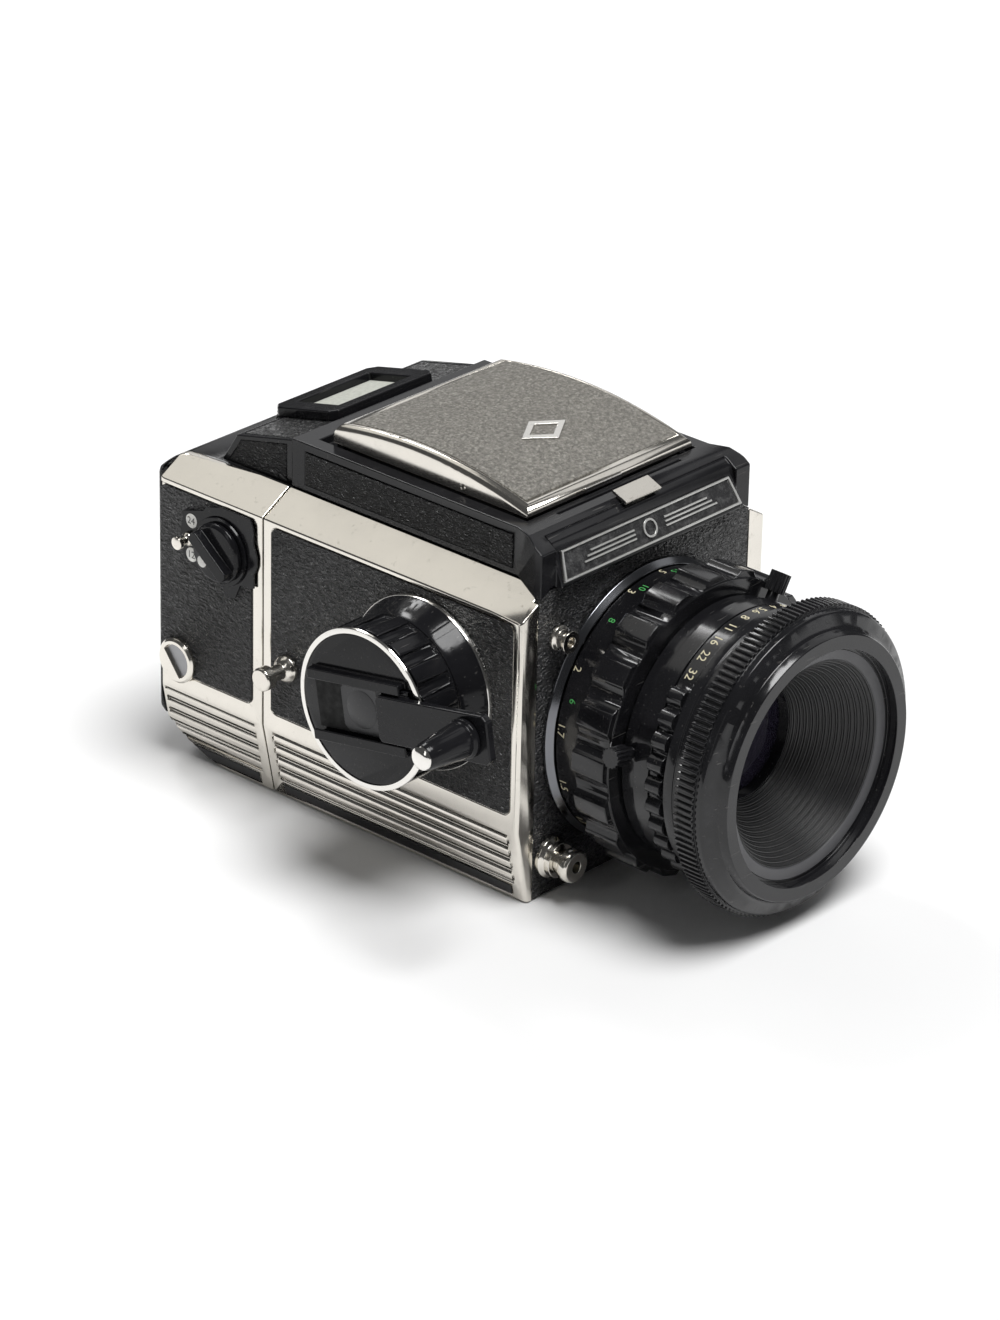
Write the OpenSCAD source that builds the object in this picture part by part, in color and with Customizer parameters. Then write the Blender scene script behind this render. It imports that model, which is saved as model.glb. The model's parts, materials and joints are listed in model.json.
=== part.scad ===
// Medium format single lens reflex camera with waist-level finder, film back and standard lens.
// +Z up, lens towards -Y, winding crank on the -X side.
// Lengths below are measured from the front plate (y = 0), the base (z = 0) and the centre line
// (x = 0); at_socket() then moves every piece so that the tripod socket is the origin.

/* [Body] */
// Width across the two side covers
body_w = 100; // [98:0.5:104]
// Height of the flat part of each side cover
side_h = 85.4; // [84:0.2:88]
// Height of the body where the sloping shoulders end
shoulder_h = 91.7; // [91:0.1:93]
// Depth from the front plate to the seam with the film back
body_d = 95.3; // [94:0.1:97]
// How far the ribbed lower part of a cover leans in at the base
lean = 4.7; // [3:0.1:6]
// Height of the ribbed lower part of a cover
rib_h = 22.5; // [20:0.5:25]
// Thickness of the chromed side covers
cover_t = 1.4; // [1:0.1:1.6]
// Distance of the tripod socket behind the front plate
socket_y = 58; // [50:1:64]

/* [Finder hood] */
// Half width of the hood walls
hood_x = 39; // [38.6:0.1:39.4]
// Height of the deck that the lid closes on
deck_h = 106; // [105:0.2:107]
// Half width of the lid
lid_x = 33.5; // [32:0.1:34]
// Radius of the lid's arched top
lid_r = 147; // [140:1:170]

/* [Lens] */
// Height of the lens axis above the base
lens_z = 46.5; // [46:0.1:47]
// Radius of the chromed mount ring
mount_r = 40.4; // [40:0.1:41]
// Radius over the lands of the focusing ring
focus_r = 43.4; // [42:0.1:44]
// Number of scoops around the focusing ring
focus_scoops = 20; // [16:1:24]
// Radius of the filter thread
filter_r = 33.5; // [33:0.5:34]
// Radius over the teeth of the knurled front ring
knurl_r = 44; // [43:0.1:44.4]

/* [Winding crank] */
// Distance of the crank knob behind the front plate
knob_y = 34.4; // [33:0.1:36]
// Height of the crank knob
knob_z = 56.9; // [55:0.1:58]
// Radius of the knob's grip
knob_r = 22.8; // [22:0.1:24]
// Length of the crank arm from the knob's centre to the end
arm_len = 49; // [45:0.5:52]

/* [Film back] */
// Distance of the rear face behind the front plate
rear_y = 138.5; // [136:0.5:140]
// Radius of the curve under the film back
belly_r = 31; // [29:0.5:31]
// Distance of the film key behind the front plate
key_y = 110.6; // [109:0.1:112]
// Height of the film key
key_z = 70.8; // [69:0.1:72]

/* [Hidden] */
$fn = 96;

half_w = body_w / 2;
face_x = 43;                    // half width of the front plate
leather_t = 0.8;                // thickness of the leatherette
pocket_d = 0.6;                 // depth of the pocket that holds the leatherette
lean_a = atan(lean / rib_h);    // angle of the ribbed face
shoulder_x = 39.2;              // half width where the shoulders end
shoulder_a = atan((shoulder_h - side_h) / (half_w - shoulder_x));
bend_y = 11.5;                  // in front of this the shoulder bends down slightly
bend_a = 3;
scoop_phase = 8;                // angle of the first scoop on the knob and focusing ring
back_y = body_d + 0.4;          // front face of the film back
door_y = 135.5;                 // front edge of the rear door
door_z = 11.6;                  // lower edge of the rear door
belly_y = 112;                  // where the curve under the film back starts
hump_pts = [[back_y, 88], [back_y, 104.8], [117.7, 99.6], [124, 89.5], [124, 88]];
hump_side = [[98.6, 91.8], [98.6, 102.5], [115.9, 98.4], [120.2, 91.8]];
hump_x = 37.6;                  // half width of the raised block on the film back
memo_tilt = atan((104.8 - 99.6) / (117.7 - back_y));
spool_y = 116.6;                // axes of the two film spools
takeup_z = 72.5;
feed_z = 24.5;
blade_count = 5;
blade_pitch = 0.5;              // distance from one blade's plane to the next
blade_pivot_r = 22;
blade_top_y = -28.6;            // plane of the rearmost blade
lid_hinge_y = 83.6;
lid_hinge_z = 107.6;
lid_crown_y = 55;               // where the lid's arch is highest
lid_crown_z = 114.6;
lid_edge_r = 2.2;               // rounding of the lid's rolled edge
crank_tilt = 10;                // angle of the crank arm and its rails
gear_x = 39;                    // inner face of the two gears
gear_teeth = 28;
mirror_y = 22.3;                // lower edge of the mirror when it is up
mirror_z = 26.3;
mirror_len = 74.5;
rail_x = 77;                    // outer face of the rails on the knob
latch_y = 127.9;                // centre of the rear door's latch
latch_z = 31.6;

// ---------- helpers ----------

module at_socket() {
    translate([0, -socket_y, 0]) children();
}

// Both sides of the centre plane
module both_sides() {
    children();
    mirror([1, 0, 0]) children();
}

// Outline in Y and Z, extruded along X
module prism_x(points, x0, x1) {
    translate([x0, 0, 0]) rotate([90, 0, 90]) linear_extrude(x1 - x0) polygon(points);
}

// Outline in X and Z, extruded along Y
module prism_y(points, y0, y1) {
    translate([0, y1, 0]) rotate([90, 0, 0]) linear_extrude(y1 - y0) polygon(points);
}

// Profile of radius and Y, turned about the lens axis
module lens_turned(points) {
    translate([0, 0, lens_z]) rotate([-90, 0, 0]) rotate_extrude() polygon(points);
}

// Profile of radius and distance out from the centre line, turned about an axis along -X
module left_turned(y, z, points) {
    translate([0, y, z]) rotate([0, -90, 0]) rotate_extrude() polygon(points);
}

// Profile of radius and distance out from the centre line, turned about an axis along +X
module right_turned(y, z, points) {
    translate([0, y, z]) rotate([0, 90, 0]) rotate_extrude() polygon(points);
}

module rod_x(y, z, r, x0, x1) {
    translate([x0, y, z]) rotate([0, 90, 0]) cylinder(h = x1 - x0, r = r);
}

module rod_y(x, z, r, y0, y1) {
    translate([x, y1, z]) rotate([90, 0, 0]) cylinder(h = y1 - y0, r = r);
}

function arc(cx, cy, r, a0, a1, n) =
    [for (i = [0:n]) let (a = a0 + (a1 - a0) * i / n) [cx + r * cos(a), cy + r * sin(a)]];

// Disc with scoops of radius q cut into its edge, their axes at radius c
module scooped(r, h, n, q, c) {
    difference() {
        cylinder(h = h, r = r);
        for (i = [0:n - 1])
            rotate(360 * i / n) translate([c, 0, -1]) cylinder(h = h + 2, r = q);
    }
}

// Plate across X with rounded corners
module slab(x0, x1, y0, y1, z0, z1, r) {
    translate([x0, y0 + r, z0]) cube([x1 - x0, y1 - y0 - 2 * r, z1 - z0]);
    translate([x0, y0, z0 + r]) cube([x1 - x0, y1 - y0, z1 - z0 - 2 * r]);
    for (y = [y0 + r, y1 - r])
        for (z = [z0 + r, z1 - r])
            rod_x(y, z, r, x0, x1);
}

// Outline of a ring with straight teeth
function toothed(r, depth, n) =
    [for (i = [0:n - 1]) for (k = [0:3])
        let (a = 360 * (i + [-0.32, -0.17, 0.17, 0.32][k]) / n, q = k == 0 || k == 3 ? r - depth : r)
        [q * cos(a), q * sin(a)]];

// ---------- body ----------

// Outer section of one side of the body, in X and Z
section = [[half_w - lean, 0], [half_w, rib_h], [half_w, side_h], [shoulder_x, shoulder_h]];
// Space inside one side cover, in X and Z
cover_inside = [[half_w - lean - cover_t, -1], [half_w - cover_t, rib_h],
                [half_w - cover_t, side_h - 0.7], [shoulder_x - 1, shoulder_h - 1.0],
                [0, shoulder_h - 1.0], [0, -1]];

// The frame around the mirror chamber: a flange at each end, two side walls and a floor,
// with open bays for the gears outside the side walls
module body_frame() {
    at_socket() color("dimgray") difference() {
        intersection() {
            union() {
                both_sides() prism_y(cover_inside, 2, 8);
                both_sides() prism_y(cover_inside, 88, body_d);
                translate([-38.5, 7, 2]) cube([77, 82, 88]);
            }
            translate([-60, 0, 2]) cube([120, body_d, 87.4]);
        }
        translate([-36.2, 6, 9]) cube([72.4, 86, 90]);
        translate([-36.2, -1, lens_z - 36.2]) cube([72.4, 8, 72.4]);
        translate([-29, 90, lens_z - 29]) cube([58, 8, 58]);
        translate([0, socket_y, -1]) cylinder(h = 12, r = 8);
        rod_x(knob_y, knob_z, 5.05, -60, -30);
        rod_x(knob_y, knob_z, 5.05, 30, 60);
        rod_y(-36.6, 11.5, 4.2, -1, 9);
    }
    at_socket() color("dimgray") rod_x(knob_y + 27, knob_z, 2.95, -gear_x - 5, -38);
}

module front_plate() {
    at_socket() color("black") difference() {
        prism_y([[-face_x + 0.1, 0.4], [-face_x + 0.1, 89.2], [-39.4, 91.2], [39.4, 91.2],
                 [face_x - 0.1, 89.2], [face_x - 0.1, 0.4]], 0.3, 2);
        rod_y(0, lens_z, 36.2, -1, 3);
        rod_y(-36.6, 11.5, 4.3, -1, 3);
        rod_y(-35.4, 76.6, 2, -1, 3);
    }
}

// Bevelled chromed ring with the fixed tube that the lens slides in
module mount_ring() {
    at_socket() color("silver") lens_turned([
        [32.9, 5.5], [36.1, 5.5], [36.1, 0.1], [mount_r, 0.1], [mount_r, -0.9],
        [mount_r - 1.5, -2.6], [35.9, -2.6], [35.9, -23], [32.9, -23]]);
}

// One chromed side cover: flat side with a pocket for the leatherette, sloping shoulder,
// ribbed lower part, and a strip that turns onto the front
module cover() {
    difference() {
        prism_y(concat(section, [[shoulder_x, 0]]), 0.2, body_d);
        prism_y(cover_inside, 1.6, body_d + 1);
        translate([shoulder_x - 1, -1, -1]) cube([face_x - shoulder_x + 1, 3, 100]);
        slab(half_w - pocket_d, half_w + 5, 2.9, 92.4, 27.2, side_h - 1.5, 2.4);
        rib_pocket(4.0, body_d - 3.6);
        rod_x(knob_y, knob_z, 5.6, 40, 60);
        front_edge(half_w, 0, rib_h, side_h + 5);
        front_edge(half_w - lean, lean_a, -2, rib_h + 0.5);
        translate([half_w, bend_y, side_h]) rotate([0, shoulder_a, 0]) rotate([bend_a, 0, 0])
            translate([-20, -20, 0]) cube([40, 40, 10]);
    }
    ribs(4.0, body_d - 3.6);
}

// What is cut off to round the front edge of a cover
module front_edge(x, angle, z0, z1) {
    r = 1.6;
    c = r - 0.06;
    translate([x, 0.2, 0]) rotate([0, angle, 0]) difference() {
        translate([-c, c - 4, z0]) cube([4, 4, z1 - z0]);
        translate([-c, c, z0 - 1]) cylinder(h = z1 - z0 + 2, r = r);
    }
}

// Recess behind the ribs and the narrow slot for the black inlay
module rib_pocket(y0, y1) {
    translate([half_w - lean, 0, 0]) rotate([0, lean_a, 0]) {
        translate([-0.9, y0, 5.4]) cube([3, y1 - y0, 16.0]);
        translate([-0.5, y0 + 1, 1.3]) cube([3, y1 - y0 - 2, 3.2]);
    }
}

// Four raised bands along the lower part of a cover
module ribs(y0, y1) {
    translate([half_w - lean, 0, 0]) rotate([0, lean_a, 0]) intersection() {
        for (k = [0:3])
            translate([-1.5, y0 - 0.2, 7.35 + 4.05 * k]) rotate([-90, 0, 0])
                cylinder(h = y1 - y0 + 0.4, r = 1.75, $fn = 48);
        translate([-1.2, y0 - 1, 0]) cube([4, y1 - y0 + 2, 30]);
    }
}

module cover_right() {
    at_socket() color("lightgray") cover();
}

module cover_left() {
    at_socket() color("lightgray") mirror([1, 0, 0]) cover();
}

module leather_panel() {
    difference() {
        slab(half_w - pocket_d, half_w - pocket_d + leather_t, 3.1, 92.2, 27.4, side_h - 1.7, 2.2);
        rod_x(knob_y, knob_z, 20, 40, 60);
    }
}

module leather_left() {
    at_socket() color("black") mirror([1, 0, 0]) leather_panel();
}

module leather_right() {
    at_socket() color("black") leather_panel();
}

module base_plate() {
    at_socket() color("dimgray") difference() {
        translate([-42.6, 3, 0]) cube([85.2, body_d - 4, 2]);
        translate([0, socket_y, -1]) cylinder(h = 5, r = 8);
    }
}

// Tripod bush with a 1/4 inch socket
module tripod_bush() {
    at_socket() color("silver") translate([0, socket_y, 0]) difference() {
        cylinder(h = 9, r = 8);
        translate([0, 0, -1]) cylinder(h = 8, r = 3.175);
    }
}

module strap_studs() {
    at_socket() color("silver") both_sides() right_turned(85.6, 43.3, [
        [0, half_w + 0.25], [4.0, half_w + 0.25], [4.0, half_w + 1.2], [3.2, half_w + 2.4],
        [2.2, half_w + 3.2], [2.2, half_w + 7.2], [3.4, half_w + 7.8], [3.4, half_w + 10.6],
        [2.9, half_w + 11.1], [0, half_w + 11.1]]);
}

// ---------- front fittings ----------

module release_collar() {
    at_socket() color("silver") translate([-36.6, 0, 11.5]) rotate([90, 0, 0])
        rotate_extrude() polygon([[3.4, -5.8], [4.2, -5.8], [4.2, -0.1], [6.0, -0.1],
                                  [6.0, 1.2], [5.0, 2.2], [5.0, 4.2], [3.4, 4.2]]);
}

// Button with a small tapped hole for a cable release
module shutter_button() {
    at_socket() color("silver") translate([-36.6, 0, 11.5]) rotate([90, 0, 0]) difference() {
        rotate_extrude() polygon([[0, -3.8], [3.32, -3.8], [3.32, 6.6], [4.6, 6.6], [4.8, 7.0],
                                  [4.8, 9.2], [4.2, 9.9], [0, 9.9]]);
        translate([0, 0, 5]) cylinder(h = 6, r = 1.6);
    }
}

module sync_socket() {
    at_socket() color("silver") translate([-35.4, 0, 76.6]) rotate([90, 0, 0]) difference() {
        rotate_extrude() polygon([[0, -1.6], [2.0, -1.6], [2.0, 0], [3.6, 0], [3.6, 1.0],
                                  [2.6, 1.6], [2.6, 3.4], [3.2, 3.9], [3.2, 4.8], [0, 4.8]]);
        translate([0, 0, 2.8]) cylinder(h = 3, r = 1.5);
    }
}

// ---------- finder hood ----------

// Side view of the nose that carries the nameplate
nose_pts = [[0.2, 90.2], [-2.2, 92.0], [-2.0, 93.0], [1.6, 100.9], [2.4, 103.4],
            [6.4, deck_h], [12, deck_h], [12, 91.9], [2.0, 91.9], [2.0, 91.3], [0.2, 91.3]];
// Plan of the hood, widening towards the front
hood_plan = [[-hood_x, body_d], [-hood_x, 12], [-42.6, 2.4], [-42.6, 0.1],
             [42.6, 0.1], [42.6, 2.4], [hood_x, 12], [hood_x, body_d]];
rail_pts = [[0.1, 91.9], [0.1, 102.4], [3.4, 104.6], [6.4, deck_h], [body_d, deck_h],
            [body_d, 91.9]];

module hood_base() {
    at_socket() color("black") difference() {
        union() {
            difference() {
                intersection() {
                    translate([0, 0, 85]) linear_extrude(30) polygon(hood_plan);
                    prism_x(rail_pts, -60, 60);
                }
                translate([-36.6, -1, 91]) cube([73.2, 5.4, 20]);
            }
            prism_x(nose_pts, -36.6, 36.6);
            both_sides() intersection() {
                translate([0, 0, 85]) linear_extrude(30) polygon(hood_plan);
                union() {
                    prism_y([[38.8, 92.2], [38.8, 92.03], [42.6, 89.82], [42.6, 92.2]], 0.1, 12);
                    prism_y([[38.8, 92.2], [38.8, 91.6], [42.6, 89.45], [42.6, 92.2]], 0.1, 2);
                }
            }
            translate([-38.2, 6, 89.4]) cube([76.4, body_d - 6, 2.6]);
        }
        translate([-30.5, 19, 85]) cube([61, 62, 40]);
        translate([-32.5, 17, 92.2]) cube([65, 66, 40]);
        translate([-34.2, 13.0, 103.6]) cube([68.4, 76, 10]);
        translate([-25, 9.9, deck_h - 0.8]) cube([50, 0.9, 3]);
        translate([-2.6, 3.6, 101]) cube([6.4, 5.4, 10]);
        both_sides() translate([hood_x - 0.5, 13.5, 93.6]) cube([3, 76.5, 9.8]);
    }
    at_socket() color("black") both_sides() difference() {
        union() {
            translate([30, lid_hinge_y - 1.3, 103.6]) cube([1.8, 2.6, lid_hinge_z - 103.6]);
            rod_x(lid_hinge_y, lid_hinge_z, 1.3, 30, 31.8);
        }
        rod_x(lid_hinge_y, lid_hinge_z, 0.65, 29, 33);
    }
}

module hood_leather() {
    at_socket() color("black") both_sides() translate([hood_x - 0.5, 13.7, 93.8])
        cube([0.8, 76.1, 9.4]);
}

// Slanted plate with a raised rim, on the nose of the hood
module nameplate() {
    tilt = atan((1.6 + 2.0) / (100.9 - 93.0));
    at_socket() color("silver") translate([0, -2.0, 93.0]) rotate([-tilt, 0, 0]) difference() {
        rotate([90, 0, 0]) linear_extrude(1.0)
            polygon([[-36.2, 0.2], [-34.2, 8.6], [34.2, 8.6], [36.2, 0.2]]);
        translate([0, -0.45, 0]) rotate([90, 0, 0]) linear_extrude(2)
            polygon([[-35.0, 0.9], [-33.5, 7.9], [33.5, 7.9], [35.0, 0.9]]);
    }
}

module focusing_screen() {
    at_socket() color("lightsteelblue") translate([-31.8, 17.6, 92.2]) cube([63.6, 64.8, 2.4]);
}

// Sliding catch in front of the lid
module hood_catch() {
    at_socket() color("silver") {
        translate([0.6, 2.6, 104.5]) rotate([22, 0, 0])
            translate([-7.2, 0, 0.55]) cube([14.4, 5.6, 0.9]);
        translate([-2.2, 4.2, 102]) cube([5.6, 2, 4]);
    }
}

// Arched lid: a tray with hinge pins at the rear and lugs for the magnifier inside
module lid_frame() {
    at_socket() color("lightgray") difference() {
        intersection() {
            translate([-lid_x, 13.6, 106.3]) cube([2 * lid_x, 71, 12]);
            rod_x(lid_crown_y, lid_crown_z - lid_r, lid_r, -40, 40);
            prism_x(concat([[13.6, 106.3], [13.6, 120], [79.4, 120]],
                           arc(79.0, 107.6, 5.6, 78, 0, 8), [[84.6, 106.3]]), -40, 40);
        }
        intersection() {
            translate([-lid_x + 1.4, 15.0, 100]) cube([2 * lid_x - 2.8, 67.6, 20]);
            rod_x(lid_crown_y, lid_crown_z - lid_r, lid_r - 1.7, -60, 60);
        }
        difference() {
            translate([-lid_x + 2.5, 16.6, 104]) cube([2 * lid_x - 5.0, 63.6, 20]);
            rod_x(lid_crown_y, lid_crown_z - lid_r, lid_r - 0.6, -60, 60);
        }
        both_sides() translate([29.7, 81, 100]) cube([2.4, 6, 9.0]);
        both_sides() translate([0, lid_crown_y, lid_crown_z - lid_r]) rotate([0, 90, 0])
            rotate_extrude() difference() {
                translate([lid_r - lid_edge_r, lid_x - lid_edge_r]) square(lid_edge_r + 1);
                translate([lid_r - lid_edge_r, lid_x - lid_edge_r]) circle(r = lid_edge_r);
            }
        lid_front_edge();
    }
    at_socket() color("lightgray") both_sides() {
        rod_x(lid_hinge_y, lid_hinge_z, 0.6, 28.6, 32.6);
        difference() {
            translate([12.3, 23.4, 107]) cube([1.6, 3.2, 3.2]);
            rod_x(25, 108.4, 0.86, 10, 20);
        }
    }
}

// What is cut off to round the lid's front edge
module lid_front_edge() {
    y = 13.6 + lid_edge_r;
    z = lid_crown_z - lid_r + sqrt(pow(lid_r - lid_edge_r, 2) - pow(lid_crown_y - y, 2));
    difference() {
        translate([-40, 12.6, z]) cube([80, 2.6, 5]);
        rod_x(y, z, lid_edge_r, -50, 50);
    }
}

module lid_leather() {
    at_socket() color("dimgray") intersection() {
        difference() {
            rod_x(lid_crown_y, lid_crown_z - lid_r, lid_r + 0.15, -40, 40);
            rod_x(lid_crown_y, lid_crown_z - lid_r, lid_r - 0.6, -50, 50);
        }
        translate([-lid_x + 2.7, 16.8, 104]) cube([2 * lid_x - 5.4, 63.2, 20]);
    }
}

// Folding side screen, lying flat under the lid
module flap(x_hinge, z) {
    translate([0, 0, z]) linear_extrude(0.5)
        polygon([[x_hinge, 20], [x_hinge, 80], [x_hinge + 13, 80], [x_hinge + 25, 66],
                 [x_hinge + 25, 45.5], [x_hinge + 2, 20]]);
    rod_y(x_hinge, z + 0.25, 0.5, 20, 80);
}

module flap_left() {
    at_socket() color("black") flap(-31.5, 104.2);
}

module flap_right() {
    at_socket() color("black") mirror([1, 0, 0]) flap(-31.5, 104.2);
}

module flap_front() {
    at_socket() color("black") {
        translate([0, 0, 105]) linear_extrude(0.5)
            polygon([[-28.6, 15.2], [-24.4, 35.2], [24.4, 35.2], [28.6, 15.2]]);
        rod_x(15.2, 105.25, 0.5, -28.6, 28.6);
    }
}

module magnifier_frame() {
    at_socket() color("black") difference() {
        union() {
            translate([-12, 25, 107.6]) cube([24, 20, 1.6]);
            rod_x(25, 108.4, 0.8, -14, 14);
        }
        translate([0, 35, 105]) cylinder(h = 8, r = 8.6);
    }
}

module magnifier_lens() {
    at_socket() color("lightcyan") translate([0, 35, 108.4]) rotate_extrude()
        polygon([[0, -0.9], [8.5, -0.45], [8.5, 0.45], [0, 0.9]]);
}

// ---------- crank and gears ----------

module crank_knob() {
    at_socket() color("black") {
        left_turned(knob_y, knob_z, [
            [0, 37.0], [5.0, 37.0], [5.0, half_w + 0.4], [24.4, half_w + 0.4],
            [24.8, half_w + 0.8], [24.8, half_w + 1.6], [21.6, half_w + 8.4],
            [21.6, half_w + 9.6], [22.0, half_w + 9.6], [22.0, half_w + 11.0], [0, half_w + 11.0]]);
        translate([-half_w - 10.6, knob_y, knob_z]) rotate([0, -90, 0])
            rotate(scoop_phase) scooped(knob_r, 12.2, 16, 2.6, 24.2);
        translate([-gear_x, knob_y, knob_z]) rotate([0, -90, 0])
            linear_extrude(5) polygon(toothed(14, 1.7, gear_teeth));
    }
}

// Face disc with the chromed ring's seat and the two rails of the crank arm
module knob_face() {
    at_socket() color("black") difference() {
        union() {
            left_turned(knob_y, knob_z, [
                [0, half_w + 22.8], [22.2, half_w + 22.8], [22.2, half_w + 23.9],
                [20.8, half_w + 24.3], [0, half_w + 24.3]]);
            translate([0, knob_y, knob_z]) rotate([-crank_tilt, 0, 0])
                for (s = [-1, 1]) {
                    translate([-rail_x, -17, s * 9.4 - 0.8]) cube([3.2, 34, 1.6]);
                    translate([-rail_x, -17, s * 8.7 - 1.5]) cube([0.9, 34, 3.0]);
                }
        }
        rod_x(knob_y, knob_z, 1.2, -rail_x - 2, -60);
    }
}

// Arm that slides between the rails
module crank_arm() {
    at_socket() color("black") translate([0, knob_y, knob_z]) rotate([-crank_tilt, 0, 0]) {
        translate([-half_w - 25.8, -19, -8.3]) cube([1.2, 12, 16.6]);
        translate([-half_w - 27.9, 0, 0]) rotate([90, 0, 90]) linear_extrude(2.6)
            polygon([[-9.6, -6.6], [-20, -6.6], [-arm_len + 1.5, -6.9], [-arm_len, -5.4],
                     [-arm_len, 5.4], [-arm_len + 1.5, 6.9], [-20, 6.6], [-9.6, 6.6],
                     [-8.6, 5.6], [-8.6, -5.6]]);
    }
}

module crank_grip() {
    at_socket() color("black") translate([0, knob_y, knob_z]) rotate([-crank_tilt, 0, 0])
        translate([0, -arm_len + 8, 0]) rotate([0, -90, 0]) rotate_extrude()
            polygon([[0, half_w + 28.1], [5.6, half_w + 28.1], [5.6, half_w + 29.3],
                     [4.9, half_w + 29.9], [5.2, half_w + 31], [3.9, half_w + 42.6],
                     [3.5, half_w + 44.2], [2.6, half_w + 45.4], [0, half_w + 45.9]]);
}

// Gear on the shutter drum, in mesh with the teeth on the crank shaft
module drum_gear() {
    at_socket() color("goldenrod") translate([-gear_x, knob_y + 27, knob_z]) rotate([0, -90, 0])
        difference() {
            rotate(180 / gear_teeth) linear_extrude(5) polygon(toothed(14, 1.7, gear_teeth));
            translate([0, 0, -1]) cylinder(h = 8, r = 3);
        }
}

// Shutter-speed dial on the right-hand side
module speed_dial() {
    at_socket() color("black") {
        right_turned(knob_y, knob_z, [
            [0, 37.0], [5.0, 37.0], [5.0, half_w + 0.5], [15.0, half_w + 0.5],
            [15.0, half_w + 2.2], [0, half_w + 2.2]]);
        translate([half_w + 2.1, knob_y, knob_z]) rotate([0, 90, 0])
            scooped(14.2, 6.4, 20, 1.2, 14.6);
        right_turned(knob_y, knob_z, [
            [0, half_w + 8.4], [13.0, half_w + 8.4], [11.6, half_w + 9.6], [0, half_w + 9.6]]);
    }
}

// ---------- inside the body ----------

// Plate behind the mirror with the shutter's window
module shutter_gate() {
    at_socket() color("gray") difference() {
        translate([-36, 87.6, 9]) cube([72, 2.2, 78]);
        translate([-28, 80, lens_z - 28]) cube([56, 20, 56]);
    }
}

// Cross shaft that slides down and forward and carries the mirror's lower edge
module mirror_sledge() {
    at_socket() color("gray") {
        rod_x(mirror_y, mirror_z, 1.5, -34.5, 34.5);
        both_sides() rod_x(mirror_y, mirror_z, 3, 31, 34.5);
    }
}

module mirror_plate() {
    at_socket() color("lightblue") translate([0, mirror_y, mirror_z]) rotate([45, 0, 0])
        difference() {
            union() {
                translate([-29, 0, -0.9]) cube([58, mirror_len, 2.6]);
                rod_x(0, 0, 2.6, -29, 29);
            }
            rod_x(0, 0, 1.55, -40, 40);
        }
}

// ---------- lens ----------

module focus_ring() {
    at_socket() color("black") {
        lens_turned([[36.0, -2.9], [38.3, -2.9], [38.6, -3.2], [38.6, -10.6], [41.4, -12.2],
                     [41.4, -24.2], [36.0, -24.2]]);
        translate([0, -12.6, lens_z]) rotate([90, 0, 0]) difference() {
            rotate(scoop_phase) scooped(focus_r, 11.2, focus_scoops, 5, 46.3);
            translate([0, 0, -1]) cylinder(h = 20, r = 41);
        }
    }
}

// Barrel with seats for the two glasses and the bay of the iris
module lens_barrel() {
    at_socket() color("black") lens_turned([
        [31, 4], [32.8, 4], [32.8, -24.6], [35.9, -24.6], [35.9, -29.4], [37.6, -29.4],
        [37.6, -34.6], [35.9, -34.6], [35.9, -40.6], [30.2, -40.6], [30.2, -38.3],
        [16.3, -38.3], [16.3, -33], [29, -33], [29, -28], [14.5, -28], [14.5, -26],
        [17, -26], [17, -14], [31, -14]]);
}

module lens_lock_ring() {
    at_socket() color("black") {
        lens_turned([[36.0, -24.9], [36.9, -24.9], [36.9, -29.2], [36.0, -29.2]]);
        for (a = [171, 58])
            translate([0, -27.4, lens_z]) rotate([0, -a, 0]) rotate([0, 90, 0]) {
                translate([0, 0, 36.6]) cylinder(h = 5, r = 1.7);
                translate([0, 0, 39.6]) linear_extrude(5.6) polygon(toothed(2.9, 0.3, 16));
            }
    }
}

// Aperture ring: ribbed over the lower part, smooth over the numerals
module aperture_ring() {
    at_socket() color("black") {
        lens_turned([[36.0, -34.9], [37.4, -34.9], [37.7, -35.2], [37.7, -40.2], [36.0, -40.2]]);
        difference() {
            ring_ribs();
            rod_y(0, lens_z, 36.4, -42, -33);
        }
    }
}

module ring_ribs() {
    union() {
        for (a = [142:9.5:388])
            translate([0, -37.5, lens_z]) rotate([0, -a, 0])
                rod_y(37.0, 0, 2.6, -2.5, 2.5);
    }
}

module front_barrel() {
    at_socket() color("black") lens_turned([
        [30.4, -40.6], [38.4, -40.6], [38.8, -41.0], [38.8, -43.9], [38.5, -44.1], [38.5, -44.5],
        [38.8, -44.7], [38.8, -49.0], [30.4, -49.0]]);
}

// Knurled ring and threaded rim for the filter
module filter_ring() {
    at_socket() color("black") difference() {
        union() {
            translate([0, -49, lens_z]) rotate([90, 0, 0])
                linear_extrude(6.2) polygon(toothed(knurl_r, 0.7, 140));
            lens_turned([[32, -55], [42.8, -55], [42.8, -57.2], [42.2, -57.8], [39.2, -58.6],
                         [38.2, -59.4], [37.8, -61.4], [37.4, -61.9], [32, -61.9]]);
        }
        rod_y(0, lens_z, filter_r, -63, -58.6);
        rod_y(0, lens_z, filter_r - 1.1, -60, -48);
    }
}

// Stepped cone in front of the front glass
module light_baffle() {
    steps = 26;
    inner = [for (i = [0:steps - 1]) for (k = [0, 1])
        [29.0 - 12.2 * (i + k) / steps + (k == 1 ? 0.25 : 0), -57.6 + 18.8 * (i + k * 0.8) / steps]];
    at_socket() color("dimgray") lens_turned(concat(
        [[30.2, -38.5], [30.2, -57.0], [filter_r - 1.2, -57.6], [filter_r - 1.2, -58.6], [29.6, -58.2]],
        inner, [[16.6, -38.5]]));
}

module front_element() {
    at_socket() color("lightcyan") lens_turned([[0, -37.4], [9, -36.7], [16.3, -34.9],
                                                [16.3, -33.4], [0, -33.4]]);
}

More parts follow.
